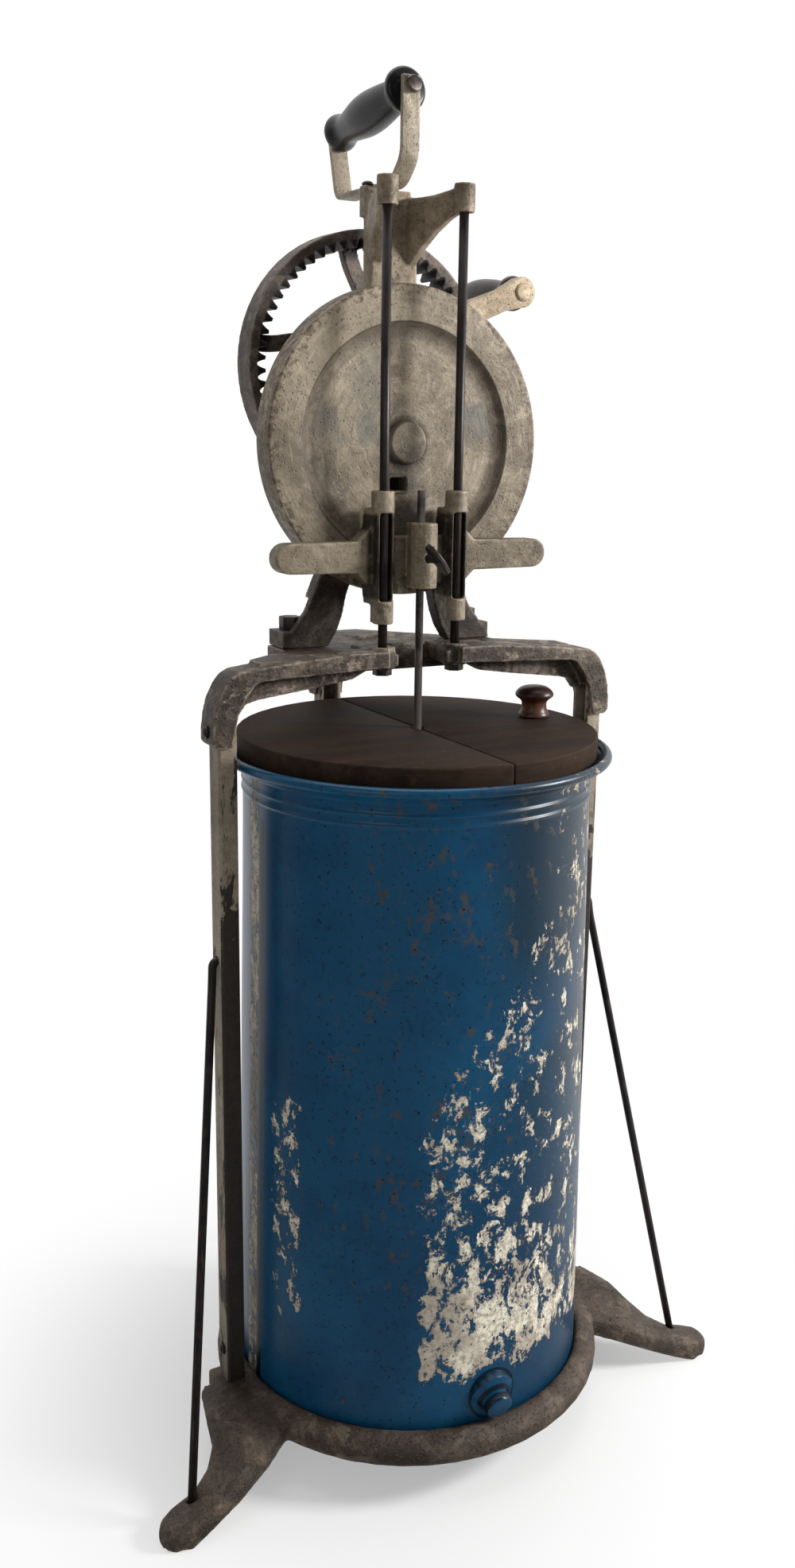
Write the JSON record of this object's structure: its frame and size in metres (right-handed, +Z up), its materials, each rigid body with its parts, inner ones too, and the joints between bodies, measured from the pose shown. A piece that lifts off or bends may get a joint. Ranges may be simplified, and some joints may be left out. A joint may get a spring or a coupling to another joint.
{
  "type": "butter churn",
  "caption": "Hand cranked dash churn: a tall can in a legged iron frame, with a geared flywheel whose crank pin lifts a yoke and dasher rod through a split lid.",
  "frame": {"origin": "on the floor, under the middle of the churn's outer box; the can's axis stands 41 mm in front of it", "axes": "+Z up along the can's axis, -Y towards the front, where the flywheel's face and the drain are, +X to the right"},
  "size_m": [0.4662, 0.4064, 0.9635],
  "materials": {
    "base_iron": "rough dark brown cast iron, rubbed brighter on the edges",
    "frame_iron": "grey-brown worn iron with dark stains",
    "wheel_iron": "light grey worn iron, dark in the corners",
    "gear_iron": "brown iron with greasy dark tooth gaps",
    "dark_steel": "dark smooth steel rod",
    "fastener_steel": "dark worn fasteners",
    "blue_paint": "deep blue paint, chipped to a pale primer",
    "lid_wood": "dark brown weathered wood",
    "knob_wood": "orange-brown turned wood with a darker top",
    "black_wood": "black lacquered turned wood",
    "dasher_wood": "plain pale wood"
  },
  "bodies": {
    "frame": {"base_casting": "base_iron", "upright_left": "frame_iron", "upright_right": "frame_iron", "upright_rear": "frame_iron", "rivet_lower_left": "fastener_steel", "rivet_lower_right": "fastener_steel", "rivet_lower_rear": "fastener_steel", "rivet_upper_left": "fastener_steel", "rivet_upper_right": "fastener_steel", "rivet_upper_rear": "fastener_steel", "brace_left": "dark_steel", "brace_right": "dark_steel", "brace_rear": "dark_steel", "top_bridge": "frame_iron", "head_frame": "frame_iron", "frame_bolt_left": "fastener_steel", "frame_bolt_right": "fastener_steel", "frame_nut_left": "fastener_steel", "frame_nut_right": "fastener_steel", "guide_rod_left": "dark_steel", "guide_rod_right": "dark_steel", "rod_nut_left": "fastener_steel", "rod_nut_right": "fastener_steel", "handle_strap": "wheel_iron", "handle_bolt": "fastener_steel", "strap_screw": "fastener_steel", "handle_rod": "dark_steel", "can": "blue_paint", "can_floor": "blue_paint", "drain_spout": "blue_paint"},
    "top_grip": {"top_grip": "black_wood"},
    "flywheel": {"flywheel_disc": "wheel_iron", "flywheel_shaft": "dark_steel", "pinion": "gear_iron", "crank_pin": "dark_steel"},
    "crank": {"ring_gear": "gear_iron", "crank_spindle": "dark_steel", "crank_arm": "wheel_iron", "grip_pin": "dark_steel"},
    "crank_grip": {"crank_grip": "black_wood"},
    "crosshead": {"crosshead": "frame_iron"},
    "yoke_block": {"yoke_block": "frame_iron"},
    "dasher": {"dasher": "dasher_wood", "dasher_rod": "dark_steel"},
    "thumb_screw": {"thumb_screw": "dark_steel"},
    "lid_left": {"lid_left": "lid_wood"},
    "lid_right": {"lid_right": "lid_wood", "lid_knob": "knob_wood"},
    "drain_cap": {"drain_cap": "blue_paint"}
  },
  "joints": [
    {"name": "flywheel_spin", "type": "hinge", "parent": "frame", "child": "flywheel", "pos_m": [0, -0.05515, 0.7226], "axis": [0, 1, 0], "continuous": true},
    {"name": "crank_spin", "type": "hinge", "parent": "frame", "child": "crank", "pos_m": [0, -0.05515, 0.7731], "axis": [0, 1, 0], "continuous": true},
    {"name": "crank_grip_spin", "type": "hinge", "parent": "crank", "child": "crank_grip", "pos_m": [0.17115, 0.08885, 0.83983], "axis": [0, 1, 0], "continuous": true},
    {"name": "top_grip_spin", "type": "hinge", "parent": "frame", "child": "top_grip", "pos_m": [0, -0.03315, 0.9505], "axis": [0, 0.9915, -0.1305], "continuous": true},
    {"name": "crosshead_slide", "type": "slide", "parent": "frame", "child": "crosshead", "axis": [0, 0, 1], "range_m": [0, 0.1528]},
    {"name": "yoke_block_slide", "type": "slide", "parent": "crosshead", "child": "yoke_block", "axis": [1, 0, 0], "range_m": [-0.0764, 0.0764]},
    {"name": "dasher_adjust", "type": "slide", "parent": "crosshead", "child": "dasher", "axis": [0, 0, 1], "range_m": [0, 0.012]},
    {"name": "thumb_screw_turn", "type": "hinge", "parent": "crosshead", "child": "thumb_screw", "pos_m": [0, -0.05515, 0.646], "axis": [0, 1, 0], "continuous": true},
    {"name": "lid_left_lift", "type": "slide", "parent": "frame", "child": "lid_left", "axis": [0, 0, 1], "range_m": [0, 0.024]},
    {"name": "lid_right_lift", "type": "slide", "parent": "frame", "child": "lid_right", "axis": [0, 0, 1], "range_m": [0, 0.004]},
    {"name": "drain_cap_turn", "type": "hinge", "parent": "frame", "child": "drain_cap", "pos_m": [-0.00341, -0.18537, 0.069], "axis": [-0.0246, -0.9394, -0.342], "continuous": true}
  ],
  "couplings": [
    {"joint": "crank_spin", "follows": "flywheel_spin", "ratio": 0.4}
  ]
}
